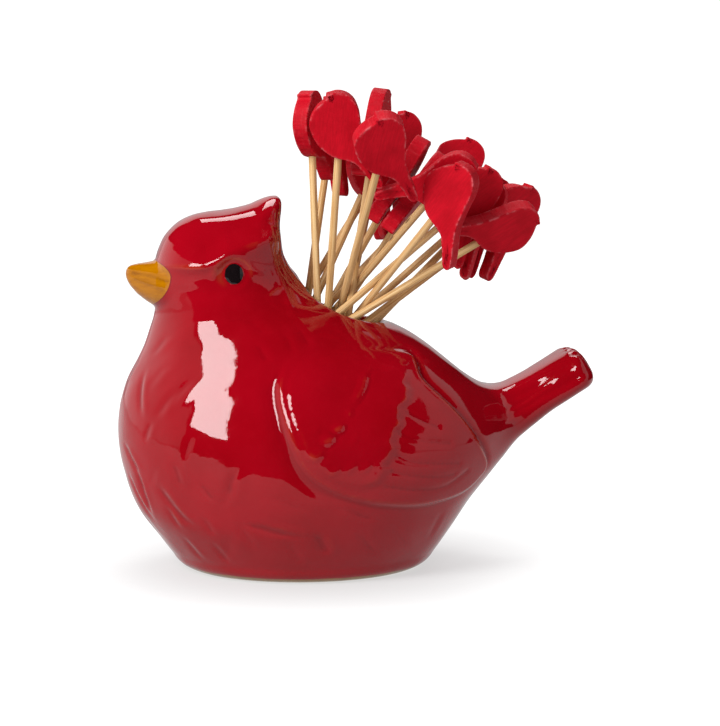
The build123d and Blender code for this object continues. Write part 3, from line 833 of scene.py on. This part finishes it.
def stick(name, pick, seed):
    rng = np.random.default_rng(seed + 100)
    entry, belly, up, across = frame_of(pick)
    n, low, high = 20, -STICK_LENGTH, SOCKET
    zs = np.concatenate([low + np.array([0.0, 0.12, 0.4, 0.9, 1.8, 3.0, 4.4, 5.8, 6.7, 7.3]), np.linspace(low + 9.0, high, 56)])
    t = np.arange(n) * 2 * np.pi / n
    # split bamboo keeps flats where it was shaved
    flats = sum(rng.uniform(0.2, 1.0) * np.cos(k * t + rng.uniform(0, 6.28)) for k in (2, 3, 5, 7)) * 0.016
    ph = rng.uniform(0, 6.28, 6)
    turn = rng.uniform(-0.5, 0.5)
    V = []
    for zz in zs:
        along = (zz - low) / (high - low)
        r = STICK_RADIUS * min(1.0, 0.27 + 0.73 * max(zz - low, 0) / POINT_LENGTH)
        if zz - low < 0.05:
            r *= 0.55
        keep = np.interp(zz, [-9.0, -1.0, 0.0, high], [1.0, 0.5, 0.0, 0.0])
        swell = 1 + 0.018 * np.sin(zz * 0.33 + ph[0]) + 0.012 * np.sin(zz * 0.91 + ph[1])
        tt = t + turn * along
        rr = r * np.minimum((1 - 0.028 + np.roll(flats, 0)) * swell, 1.03)
        bow = 0.10 * np.sin(np.pi * np.clip(-zz / STICK_LENGTH, 0, 1)) * keep
        V.append(np.column_stack([rr * np.cos(tt) + bow * np.cos(ph[2]), rr * np.sin(tt) + bow * np.sin(ph[2]), np.full(n, zz)]))
    rows = len(zs)
    V = np.concatenate(V + [np.array([[0, 0, zs[0] - 0.02], [0, 0, zs[-1]]])])
    faces = []
    for r in range(rows - 1):
        for i in range(n):
            j = (i + 1) % n
            faces.append((r * n + i, r * n + j, (r + 1) * n + j, (r + 1) * n + i))
    for i in range(n):
        j = (i + 1) % n
        faces.append((j, i, rows * n))
        faces.append(((rows - 1) * n + i, (rows - 1) * n + j, rows * n + 1))
    # (belly, across, up) would be left-handed, so the second axis is turned round
    W = entry + V[:, :1] * belly - V[:, 1:2] * across + V[:, 2:] * up
    tone = rng.uniform(0, 1)
    return mesh_object(name, W, faces, {"tone": np.full(len(W), tone)}, {"loc": V * MM})


# ---------------------------------------------------------------- materials
def glaze_material():
    m, g, bsdf = material("red_glaze")
    pos = g.add("ShaderNodeTexCoord", out="Object")
    sep = g.nodes.new("ShaderNodeSeparateXYZ")
    g.put(sep.inputs[0], pos)
    z = sep.outputs[2]
    thin, ring, inner = g.attr("thin"), g.attr("ring"), g.attr("inner")
    # the red pools darker in low places and in slow clouds, and goes brown where it runs thin
    cloud = g.noise(pos, 38.0, 3.0, 0.55)
    mottle = g.noise(pos, 420.0, 4.0, 0.6)
    red = g.mix(g.range(cloud, 0.3, 0.72), (0.252, 0.0006, 0.0042), (0.306, 0.0010, 0.0068))
    red = g.mix(g.math("MULTIPLY", g.range(mottle, 0.45, 0.75), 0.20), red, (0.33, 0.003, 0.009))
    deep = g.range(thin, -0.05, -0.30)
    red = g.mix(g.math("MULTIPLY", deep, 0.40), red, (0.17, 0.0005, 0.004))
    ragged = g.math("ADD", thin, g.math("MULTIPLY", g.math("SUBTRACT", g.noise(pos, 260.0, 5.0, 0.65), 0.5), 0.10))
    worn = g.math("MULTIPLY", g.range(ragged, 0.20, 0.75), 0.34)
    worn = g.math("MAXIMUM", worn, g.math("MULTIPLY", ring, 0.85))
    tan_ = g.mix(g.noise(pos, 300.0, 2.0, 0.5), (0.46, 0.040, 0.010), (0.33, 0.060, 0.016))
    colour = g.mix(worn, red, tan_)
    # pinholes and a few pale specks in the glaze
    cells = g.add("ShaderNodeTexVoronoi", {"Vector": pos, "Scale": 150.0, "Randomness": 1.0}, feature="F1")
    pick = g.add("ShaderNodeTexVoronoi", {"Vector": pos, "Scale": 150.0, "Randomness": 1.0}, out="Color", feature="F1")
    psep = g.nodes.new("ShaderNodeSeparateColor")
    g.put(psep.inputs[0], pick)
    some = g.range(psep.outputs[0], 0.80, 0.82)
    size = g.range(psep.outputs[1], 0.0, 1.0, 0.018, 0.055, "LINEAR")
    hole = g.math("MULTIPLY", g.math("SUBTRACT", 1.0, g.range(g.math("DIVIDE", cells, size), 0.7, 1.3)), some)
    colour = g.mix(g.math("MULTIPLY", hole, 0.55), colour, (0.62, 0.20, 0.19))
    # painted beak and eye
    streak = g.noise(g.mapping(pos, (150.0, 260.0, 1150.0)), 1.0, 3.0, 0.6, 0.4)
    ochre = g.mix(g.range(streak, 0.35, 0.75), (0.42, 0.150, 0.0004), (0.345, 0.115, 0.0003))
    lines = g.attr("streak")
    ochre = g.mix(g.math("MULTIPLY", lines, g.range(streak, 0.25, 0.6, 0.30, 0.70)), ochre, (0.19, 0.060, 0.003))
    beak = g.math("ADD", g.attr("beak"), g.math("MULTIPLY", g.math("SUBTRACT", g.noise(pos, 700.0, 2.0), 0.5), 0.18))
    on_beak = g.range(beak, -0.10, 0.10)
    rim = g.math("MULTIPLY", g.range(beak, -0.45, -0.12), g.math("SUBTRACT", 1.0, on_beak))
    colour = g.mix(g.math("MULTIPLY", rim, 0.55), colour, (0.09, 0.006, 0.004))
    colour = g.mix(on_beak, colour, ochre)
    eye = g.math("ADD", g.attr("eye"), g.math("MULTIPLY", g.math("SUBTRACT", g.noise(pos, 900.0, 2.0), 0.5), 0.22))
    on_eye = g.range(eye, -0.10, 0.12)
    black = g.mix(g.noise(pos, 500.0, 2.0), (0.0035, 0.0022, 0.0026), (0.010, 0.006, 0.007))
    colour = g.mix(on_eye, colour, black)
    # bare clay under the foot, with a brown line where the wiped glaze ends
    edge = g.math("ADD", z, g.math("MULTIPLY", g.math("SUBTRACT", g.noise(pos, 160.0, 3.0), 0.5), 0.0007))
    brown = g.mix(g.noise(pos, 500.0, 3.0), (0.20, 0.085, 0.022), (0.33, 0.17, 0.055))
    colour = g.mix(g.range(edge, 0.00165, 0.00115), colour, brown)
    clay = g.mix(g.noise(pos, 900.0, 4.0, 0.6), (0.66, 0.56, 0.43), (0.77, 0.69, 0.57))
    bare = g.range(edge, 0.00055, 0.00030)
    colour = g.mix(bare, colour, clay)
    g.put(bsdf.inputs["Base Color"], colour)
    rough = g.range(g.noise(pos, 90.0, 3.0), 0.3, 0.7, 0.028, 0.060)
    rough = g.math("ADD", rough, g.math("MULTIPLY", hole, 0.25))
    rough = g.math("ADD", rough, g.math("MULTIPLY", worn, 0.05))
    rough = g.math("MAXIMUM", rough, g.math("MULTIPLY", bare, 0.85))
    g.put(bsdf.inputs["Roughness"], rough)
    bsdf.inputs["IOR"].default_value = 1.43
    wave = g.noise(pos, 190.0, 2.0, 0.5)
    n = g.bump(wave, 0.20, 0.00022)
    n = g.bump(g.math("SUBTRACT", g.noise(pos, 900.0, 2.0, 0.5), g.math("MULTIPLY", hole, 0.9)), 0.22, 0.00004, n)
    n = g.bump(g.math("MULTIPLY", g.noise(pos, 2600.0, 4.0, 0.7), bare), 0.8, 0.00012, n)
    g.put(bsdf.inputs["Normal"], n)
    return m


def paint_material():
    """Thin red paint on cut plywood: grain and saw marks on the edges, rubbed pale along the corners."""
    m, g, bsdf = material("red_painted_wood")
    loc = g.attr("loc", "Vector")
    side, rub, tone = g.attr("side"), g.attr("rub"), g.attr("tone")
    shift = g.add("ShaderNodeCombineXYZ", {0: g.math("MULTIPLY", tone, 3.1), 1: g.math("MULTIPLY", tone, 7.7), 2: tone})
    vec = g.add("ShaderNodeVectorMath", {0: loc, 1: shift}, operation="ADD")
    felt = g.noise(vec, 1900.0, 5.0, 0.72)
    grain = g.noise(g.mapping(vec, (2600.0, 260.0, 2600.0)), 1.0, 4.0, 0.62, 0.2)
    cloud = g.noise(vec, 150.0, 3.0, 0.55)
    red = g.mix(g.range(cloud, 0.3, 0.7), (0.420, 0.0012, 0.0090), (0.540, 0.0028, 0.0140))
    red = g.mix(g.math("MULTIPLY", g.range(felt, 0.42, 0.78), 0.30), red, (0.58, 0.008, 0.022))
    red = g.mix(g.math("MULTIPLY", g.range(grain, 0.60, 0.42), 0.28), red, (0.28, 0.001, 0.006))
    # edges: across-cut fibres, saw lines and the plies
    saw = g.noise(g.mapping(vec, (1500.0, 1500.0, 110.0)), 1.0, 3.0, 0.7)
    ply = g.noise(g.mapping(vec, (60.0, 60.0, 1900.0)), 1.0, 3.0, 0.7)
    hatch = g.math("MAXIMUM", g.range(saw, 0.55, 0.80), g.math("MULTIPLY", g.range(ply, 0.56, 0.78), 0.8))
    cut = g.mix(g.math("MULTIPLY", hatch, 0.50), red, (0.54, 0.045, 0.058))
    cut = g.mix(g.math("MULTIPLY", g.range(saw, 0.44, 0.28), 0.45), cut, (0.22, 0.002, 0.007))
    colour = g.mix(g.math("MULTIPLY", side, 0.85), red, cut)
    broken = g.noise(vec, 520.0, 4.0, 0.7)
    pale = g.math("MULTIPLY", rub, g.range(broken, 0.44, 0.66))
    colour = g.mix(g.math("MULTIPLY", pale, 0.50), colour, (0.68, 0.19, 0.21))
    fleck = g.add("ShaderNodeTexVoronoi", {"Vector": vec, "Scale": 420.0, "Randomness": 1.0}, feature="F1")
    kind = g.add("ShaderNodeTexVoronoi", {"Vector": vec, "Scale": 420.0, "Randomness": 1.0}, out="Color", feature="F1")
    ks = g.nodes.new("ShaderNodeSeparateColor")
    g.put(ks.inputs[0], kind)
    dot = g.math("MULTIPLY", g.range(fleck, 0.16, 0.06), g.range(ks.outputs[1], 0.955, 0.97))
    colour = g.mix(g.math("MULTIPLY", dot, 0.7), colour, (0.80, 0.42, 0.42))
    g.put(bsdf.inputs["Base Color"], colour)
    g.put(bsdf.inputs["Roughness"], g.math("ADD", g.range(felt, 0.3, 0.8, 0.44, 0.62), g.math("MULTIPLY", side, 0.06)))
    bsdf.inputs["IOR"].default_value = 1.42
    bsdf.inputs["Specular IOR Level"].default_value = 0.10
    n = g.bump(felt, 0.45, 0.00006)
    n = g.bump(grain, 0.30, 0.00005, n)
    n = g.bump(g.math("MULTIPLY", saw, side), 0.7, 0.00022, n)
    n = g.bump(g.math("MULTIPLY", ply, side), 0.5, 0.00012, n)
    g.put(bsdf.inputs["Normal"], n)
    return m


def bamboo_material():
    m, g, bsdf = material("split_bamboo")
    loc = g.attr("loc", "Vector")
    tone = g.attr("tone")
    shift = g.add("ShaderNodeCombineXYZ", {0: g.math("MULTIPLY", tone, 5.3), 1: g.math("MULTIPLY", tone, 2.9), 2: tone})
    vec = g.add("ShaderNodeVectorMath", {0: loc, 1: shift}, operation="ADD")
    fibre = g.noise(g.mapping(vec, (2400.0, 2400.0, 42.0)), 1.0, 4.0, 0.65, 0.15)
    broad = g.noise(g.mapping(vec, (900.0, 900.0, 16.0)), 1.0, 2.0, 0.5)
    pores = g.noise(g.mapping(vec, (5200.0, 5200.0, 260.0)), 1.0, 3.0, 0.7)
    warm = g.mix(g.range(broad, 0.32, 0.70), (0.690, 0.430, 0.185), (0.520, 0.270, 0.085))
    colour = g.mix(g.range(fibre, 0.40, 0.68), warm, (0.800, 0.570, 0.290))
    colour = g.mix(g.math("MULTIPLY", g.range(fibre, 0.44, 0.30), 0.82), colour, (0.320, 0.135, 0.038))
    colour = g.mix(g.math("MULTIPLY", g.range(pores, 0.63, 0.74), 0.55), colour, (0.270, 0.125, 0.045))
    colour = g.mix(g.math("MULTIPLY", g.range(tone, 0.0, 1.0, kind="LINEAR"), 0.38), colour, (0.420, 0.205, 0.075))
    spots = g.add("ShaderNodeTexVoronoi", {"Vector": g.mapping(vec, (560.0, 560.0, 150.0)), "Scale": 1.0, "Randomness": 1.0}, feature="F1")
    which = g.add("ShaderNodeTexVoronoi", {"Vector": g.mapping(vec, (560.0, 560.0, 150.0)), "Scale": 1.0, "Randomness": 1.0}, out="Color", feature="F1")
    ws = g.nodes.new("ShaderNodeSeparateColor")
    g.put(ws.inputs[0], which)
    spot = g.math("MULTIPLY", g.range(spots, 0.22, 0.10), g.range(ws.outputs[0], 0.90, 0.92))
    colour = g.mix(g.math("MULTIPLY", spot, 0.85), colour, (0.075, 0.028, 0.012))
    g.put(bsdf.inputs["Base Color"], colour)
    g.put(bsdf.inputs["Roughness"], g.range(fibre, 0.3, 0.7, 0.62, 0.46))
    bsdf.inputs["IOR"].default_value = 1.45
    bsdf.inputs["Specular IOR Level"].default_value = 0.30
    n = g.bump(fibre, 0.70, 0.00014)
    n = g.bump(g.math("MULTIPLY", pores, -1.0), 0.35, 0.00005, n)
    g.put(bsdf.inputs["Normal"], n)
    return m


def floor_material():
    """White paper with painted light: it glows, dimmer near the bird as painted shade round it, and a little duller in
    the glaze than straight to the camera.
    """
    m, g, bsdf = material("pale_floor")
    pos = g.add("ShaderNodeTexCoord", out="Object")
    tint = g.mix(g.noise(pos, 14.0, 3.0), (0.235, 0.235, 0.237), (0.250, 0.249, 0.247))
    g.put(bsdf.inputs["Base Color"], tint)
    g.put(bsdf.inputs["Roughness"], g.range(g.noise(pos, 60.0, 2.0), 0.3, 0.7, 0.62, 0.72))
    bsdf.inputs["Specular IOR Level"].default_value = 0.15
    far = g.add("ShaderNodeVectorMath", {0: pos}, out=1, operation="LENGTH")
    # painted light: the floor's own glow, weaker close to the bird as painted shade there and weaker again in
    # reflections
    seen = g.math("ADD", g.range(far, 0.025, 0.085, 0.56, 0.90), g.range(far, 0.10, 0.42, 0.0, 0.10))
    felt = g.range(far, 0.05, 0.50, 0.40, 0.50)
    straight = g.add("ShaderNodeLightPath", out="Is Camera Ray")
    glow = g.math("ADD", g.math("MULTIPLY", seen, straight), g.math("MULTIPLY", felt, g.math("SUBTRACT", 1.0, straight)))
    bsdf.inputs["Emission Color"].default_value = (1.0, 1.0, 1.0, 1.0)
    g.put(bsdf.inputs["Emission Strength"], glow)
    g.put(bsdf.inputs["Normal"], g.bump(g.noise(pos, 900.0, 2.0), 0.05, 0.0001))
    return m




# ---------------------------------------------------------------- the object
glaze, paint, bamboo = glaze_material(), paint_material(), bamboo_material()
P, Q, N, outer, bendy, V0 = holder_mesh(GRID)
beak, eye, ring, streak = paint_values(P, V0, outer)
# the glaze lies even over the rims round the eyes
calm = np.hypot((V0[:, 0] + 21.2) / 8.0, (V0[:, 2] - 79.6) / 7.2)
bendy = bendy * np.where(np.abs(V0[:, 1]) > 8, 0.25 + 0.75 * step01(calm - 1.0, 0.35), 1.0)
bendy = bendy * (1 - 0.65 * step01(V0[:, 0] - 50.0, 2.0)) * (1 - 0.62 * step01(V0[:, 2] - 66.0, 2.0) * step01(V0[:, 0] + 15.0, 2.0))
bird = mesh_object("ceramic_bird", P, Q, {"beak": beak, "eye": eye, "ring": ring, "streak": streak, "thin": bendy, "inner": 1 - outer})
bird.data.materials.append(glaze)
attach(bird, "holder")
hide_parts("holder")
for i, pick in enumerate(PICKS):
    tag = f"{i + 1:02d}"
    top = topper(f"wooden_bird_{tag}", pick, 40 + i)
    top.data.materials.append(paint)
    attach(top, f"pick_{tag}")
    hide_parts(f"topper_{tag}")
    rod = stick(f"bamboo_stick_{tag}", pick, 40 + i)
    rod.data.materials.append(bamboo)
    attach(rod, f"pick_{tag}")
    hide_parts(f"stick_{tag}")

# ---------------------------------------------------------------- floor and light
# a sheet of paper: round behind, and cut straight a hand's width in front of the bird
R, FRONT = 1.0, 0.27
heading = math.atan2(CAMERA.y, CAMERA.x)
ring_points = []
for a in np.linspace(0, 2 * math.pi, 160, endpoint=False):
    x, y = R * math.cos(a), R * math.sin(a)
    toward = x * math.cos(heading) + y * math.sin(heading)
    if toward > FRONT:
        x -= (toward - FRONT) * math.cos(heading)
        y -= (toward - FRONT) * math.sin(heading)
    ring_points.append((x, y, -0.00002))
me = bpy.data.meshes.new("floor")
me.from_pydata(ring_points, [], [tuple(range(len(ring_points)))])
floor = bpy.data.objects.new("floor", me)
floor.data.materials.append(floor_material())
scene.collection.objects.link(floor)


def direction(az, el):
    """A direction from the object: az degrees to the right of the camera's side, el degrees up."""
    a = math.atan2(CAMERA.y, CAMERA.x) + math.radians(az)
    e = math.radians(el)
    return Vector((math.cos(a) * math.cos(e), math.sin(a) * math.cos(e), math.sin(e)))


def softbox(name, az, el, dist, wide, tall, radiance, target=(0.0, 0.0, 0.05), spread=180.0):
    data = bpy.data.lights.new(name, "AREA")
    data.shape = "RECTANGLE"
    data.size, data.size_y = wide, tall
    data.energy = radiance * math.pi * wide * tall
    data.spread = math.radians(spread)
    ob = bpy.data.objects.new(name, data)
    ob.location = Vector(target) + direction(az, el) * dist
    ob.rotation_mode = "QUATERNION"
    ob.rotation_quaternion = (-direction(az, el)).to_track_quat("-Z", "Y")
    ob.visible_camera = False
    scene.collection.objects.link(ob)
    return ob


softbox("soft_box_left", -43.6, 34.8, 1.25, 0.45, 0.69, 16.6)
softbox("soft_box_over", 176.5, 61.0, 1.10, 0.58, 0.38, 6.8)

world = bpy.data.worlds.new("studio")
world.use_nodes = True
g = Graph(world.node_tree)
d = g.add("ShaderNodeTexCoord", out="Generated")


def dot(v):
    return g.add("ShaderNodeVectorMath", {0: d, 1: tuple(v)}, out=1, operation="DOT_PRODUCT")


def deg(v):
    return math.radians(v)


front = dot(direction(0, 0))
aside = dot(direction(90, 0))
high = g.add("ShaderNodeSeparateXYZ", {0: d}, out=2)
az = g.math("ARCTAN2", aside, front)   # 0 towards the camera's side, + to the right
el = g.math("ARCSINE", high)
# a white wall on the left, its top sloping down towards the back
top = g.range(az, deg(-150.0), deg(-60.0), deg(15.0), deg(50.0), "LINEAR")
left = g.math("MULTIPLY", g.range(az, deg(-57.5), deg(-59.5)), g.range(az, deg(-153.0), deg(-150.0)))
left = g.math("MULTIPLY", left, g.range(g.math("SUBTRACT", el, top), deg(1.0), deg(-1.0)))
tone = g.range(az, deg(-60.0), deg(-112.0), 0.52, 1.10)
left = g.math("MULTIPLY", left, tone)
# one on the right, leaning away
low = g.math("ADD", deg(49.0), g.math("MAXIMUM", g.math("SUBTRACT", el, deg(18.0)), 0.0))
bulge = g.math("ADD", deg(90.0), g.math("ADD", g.math("MULTIPLY", el, 0.60), g.math("MULTIPLY", g.math("MULTIPLY", el, el), 0.63)))
right = g.math("MULTIPLY", g.range(g.math("SUBTRACT", az, low), deg(-1.2), deg(1.2)), g.range(g.math("SUBTRACT", az, bulge), deg(1.2), deg(-1.2)))
right = g.math("MULTIPLY", right, g.range(el, deg(51.0), deg(48.5)))
right = g.math("MULTIPLY", right, 0.72)
# and the bright backdrop, which grows lighter towards the lamp over it
turn = g.math("ABSOLUTE", az)
back = g.math("MAXIMUM", g.range(az, deg(160.0), deg(164.0)), g.range(az, deg(-150.0), deg(-153.0)))
back = g.math("MULTIPLY", back, g.range(el, deg(40.0), deg(36.0)))
glow = g.range(el, 0.0, deg(30.0), 0.55, 1.00)
back = g.math("MULTIPLY", back, glow)
walls = g.math("ADD", g.math("ADD", left, right), back)
studio = g.math("ADD", g.math("MULTIPLY", walls, g.range(el, deg(-2.0), deg(0.0), 0.6, 1.0)), 0.006)
# what lights the dull surfaces is the whole room at once
ray_d = g.add("ShaderNodeLightPath", out="Is Diffuse Ray")
soft = g.range(el, deg(-10.0), deg(70.0), 0.82, 0.26)
level = g.math("ADD", g.math("MULTIPLY", studio, g.math("SUBTRACT", 1.0, ray_d)), g.math("MULTIPLY", soft, ray_d))
env = g.add("ShaderNodeBackground", {0: (1.0, 1.0, 1.0), 1: level})
seen = g.add("ShaderNodeBackground", {0: (1.0, 1.0, 1.0), 1: 1.15})
ray = g.add("ShaderNodeLightPath", out="Is Camera Ray")
mixed = g.add("ShaderNodeMixShader", {0: ray, 1: env, 2: seen})
out = g.nodes.new("ShaderNodeOutputWorld")
g.links.new(mixed, out.inputs[0])
scene.world = world
scene.view_settings.view_transform = "Standard"
scene.view_settings.look = "None"
scene.view_settings.exposure = 0.0
scene.view_settings.gamma = 1.0
